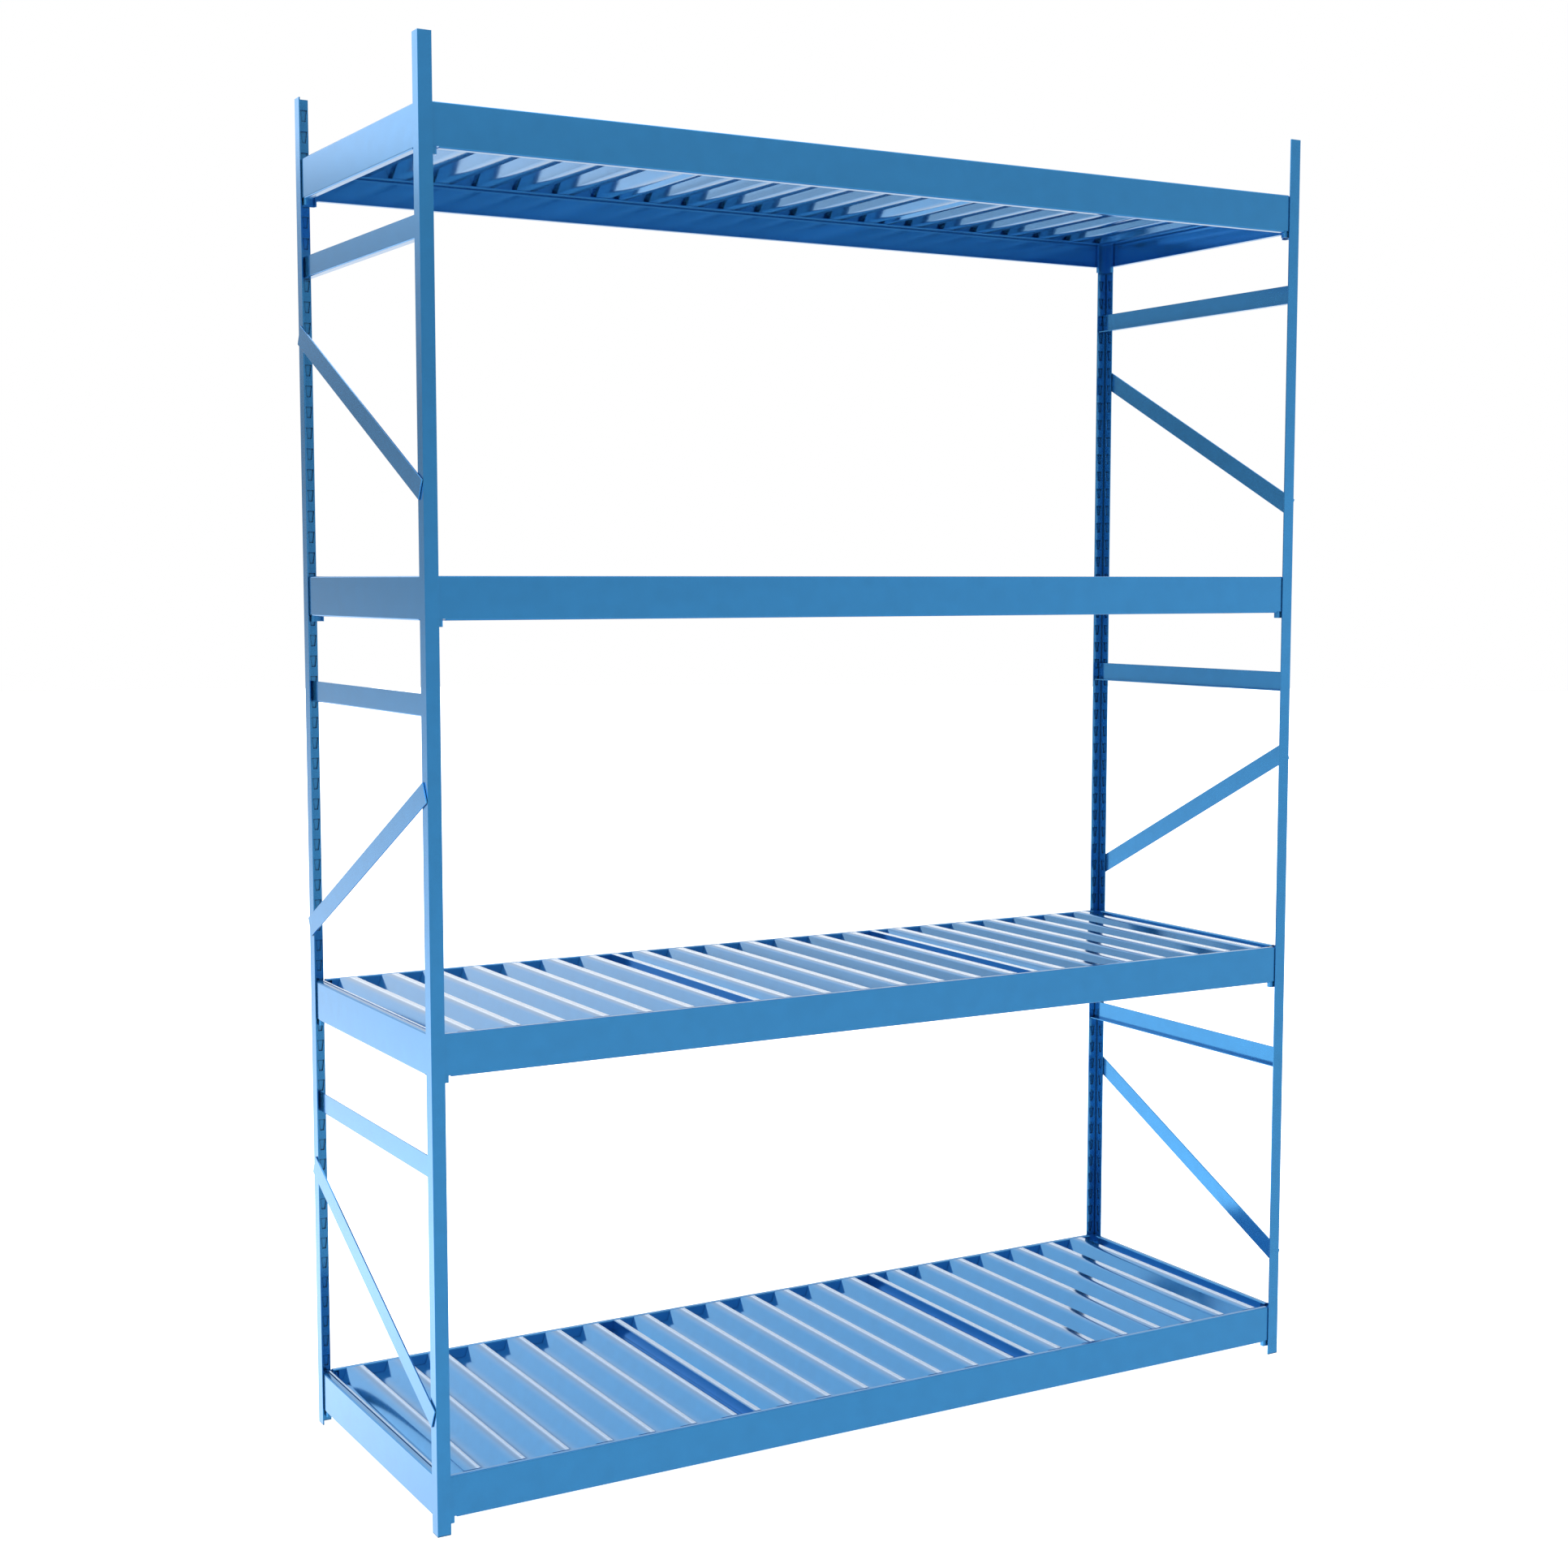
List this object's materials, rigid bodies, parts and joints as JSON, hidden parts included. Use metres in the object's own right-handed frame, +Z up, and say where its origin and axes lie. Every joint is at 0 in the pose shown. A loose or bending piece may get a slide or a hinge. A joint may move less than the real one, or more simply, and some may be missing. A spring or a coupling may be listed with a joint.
{
  "type": "bulk storage rack",
  "caption": "Free-standing boltless storage rack: slotted angle posts, step beams, corner brackets, ribbed steel deck panels and braced end frames.",
  "frame": {"origin": "centre of the overall bounding box on the floor", "axes": "+X across the width to the right seen from the front, +Y to the rear, +Z up"},
  "size_m": [1.8344, 0.6096, 2.4384],
  "materials": {
    "frame_paint": "gloss blue enamel",
    "deck_paint": "gloss blue enamel"
  },
  "bodies": {
    "rack_frame": {"post_front_left": "frame_paint", "post_front_right": "frame_paint", "post_rear_left": "frame_paint", "post_rear_right": "frame_paint", "level1_beam_front": "frame_paint", "level1_beam_rear": "frame_paint", "level1_beam_left": "frame_paint", "level1_beam_right": "frame_paint", "level1_bracket_front_left": "frame_paint", "level1_bracket_front_right": "frame_paint", "level1_bracket_rear_left": "frame_paint", "level1_bracket_rear_right": "frame_paint", "level2_beam_front": "frame_paint", "level2_beam_rear": "frame_paint", "level2_beam_left": "frame_paint", "level2_beam_right": "frame_paint", "level2_bracket_front_left": "frame_paint", "level2_bracket_front_right": "frame_paint", "level2_bracket_rear_left": "frame_paint", "level2_bracket_rear_right": "frame_paint", "level3_beam_front": "frame_paint", "level3_beam_rear": "frame_paint", "level3_beam_left": "frame_paint", "level3_beam_right": "frame_paint", "level3_bracket_front_left": "frame_paint", "level3_bracket_front_right": "frame_paint", "level3_bracket_rear_left": "frame_paint", "level3_bracket_rear_right": "frame_paint", "level4_beam_front": "frame_paint", "level4_beam_rear": "frame_paint", "level4_beam_left": "frame_paint", "level4_beam_right": "frame_paint", "level4_bracket_front_left": "frame_paint", "level4_bracket_front_right": "frame_paint", "level4_bracket_rear_left": "frame_paint", "level4_bracket_rear_right": "frame_paint", "left_crossbar_1": "frame_paint", "left_diagonal_1": "frame_paint", "left_crossbar_2": "frame_paint", "left_diagonal_2": "frame_paint", "left_crossbar_3": "frame_paint", "left_diagonal_3": "frame_paint", "right_crossbar_1": "frame_paint", "right_diagonal_1": "frame_paint", "right_crossbar_2": "frame_paint", "right_diagonal_2": "frame_paint", "right_crossbar_3": "frame_paint", "right_diagonal_3": "frame_paint"},
    "level1_deck_1_panel": {"level1_deck_1": "deck_paint"},
    "level1_deck_2_panel": {"level1_deck_2": "deck_paint"},
    "level1_deck_3_panel": {"level1_deck_3": "deck_paint"},
    "level2_deck_1_panel": {"level2_deck_1": "deck_paint"},
    "level2_deck_2_panel": {"level2_deck_2": "deck_paint"},
    "level2_deck_3_panel": {"level2_deck_3": "deck_paint"},
    "level3_deck_1_panel": {"level3_deck_1": "deck_paint"},
    "level3_deck_2_panel": {"level3_deck_2": "deck_paint"},
    "level3_deck_3_panel": {"level3_deck_3": "deck_paint"},
    "level4_deck_1_panel": {"level4_deck_1": "deck_paint"},
    "level4_deck_2_panel": {"level4_deck_2": "deck_paint"},
    "level4_deck_3_panel": {"level4_deck_3": "deck_paint"}
  },
  "joints": [
    {"name": "level1_deck_1_lift", "type": "slide", "parent": "rack_frame", "child": "level1_deck_1_panel", "axis": [0, 0, 1], "range_m": [0, 0.06]},
    {"name": "level1_deck_2_lift", "type": "slide", "parent": "rack_frame", "child": "level1_deck_2_panel", "axis": [0, 0, 1], "range_m": [0, 0.06]},
    {"name": "level1_deck_3_lift", "type": "slide", "parent": "rack_frame", "child": "level1_deck_3_panel", "axis": [0, 0, 1], "range_m": [0, 0.06]},
    {"name": "level2_deck_1_lift", "type": "slide", "parent": "rack_frame", "child": "level2_deck_1_panel", "axis": [0, 0, 1], "range_m": [0, 0.06]},
    {"name": "level2_deck_2_lift", "type": "slide", "parent": "rack_frame", "child": "level2_deck_2_panel", "axis": [0, 0, 1], "range_m": [0, 0.06]},
    {"name": "level2_deck_3_lift", "type": "slide", "parent": "rack_frame", "child": "level2_deck_3_panel", "axis": [0, 0, 1], "range_m": [0, 0.06]},
    {"name": "level3_deck_1_lift", "type": "slide", "parent": "rack_frame", "child": "level3_deck_1_panel", "axis": [0, 0, 1], "range_m": [0, 0.06]},
    {"name": "level3_deck_2_lift", "type": "slide", "parent": "rack_frame", "child": "level3_deck_2_panel", "axis": [0, 0, 1], "range_m": [0, 0.06]},
    {"name": "level3_deck_3_lift", "type": "slide", "parent": "rack_frame", "child": "level3_deck_3_panel", "axis": [0, 0, 1], "range_m": [0, 0.06]},
    {"name": "level4_deck_1_lift", "type": "slide", "parent": "rack_frame", "child": "level4_deck_1_panel", "axis": [0, 0, 1], "range_m": [0, 0.06]},
    {"name": "level4_deck_2_lift", "type": "slide", "parent": "rack_frame", "child": "level4_deck_2_panel", "axis": [0, 0, 1], "range_m": [0, 0.06]},
    {"name": "level4_deck_3_lift", "type": "slide", "parent": "rack_frame", "child": "level4_deck_3_panel", "axis": [0, 0, 1], "range_m": [0, 0.06]}
  ]
}
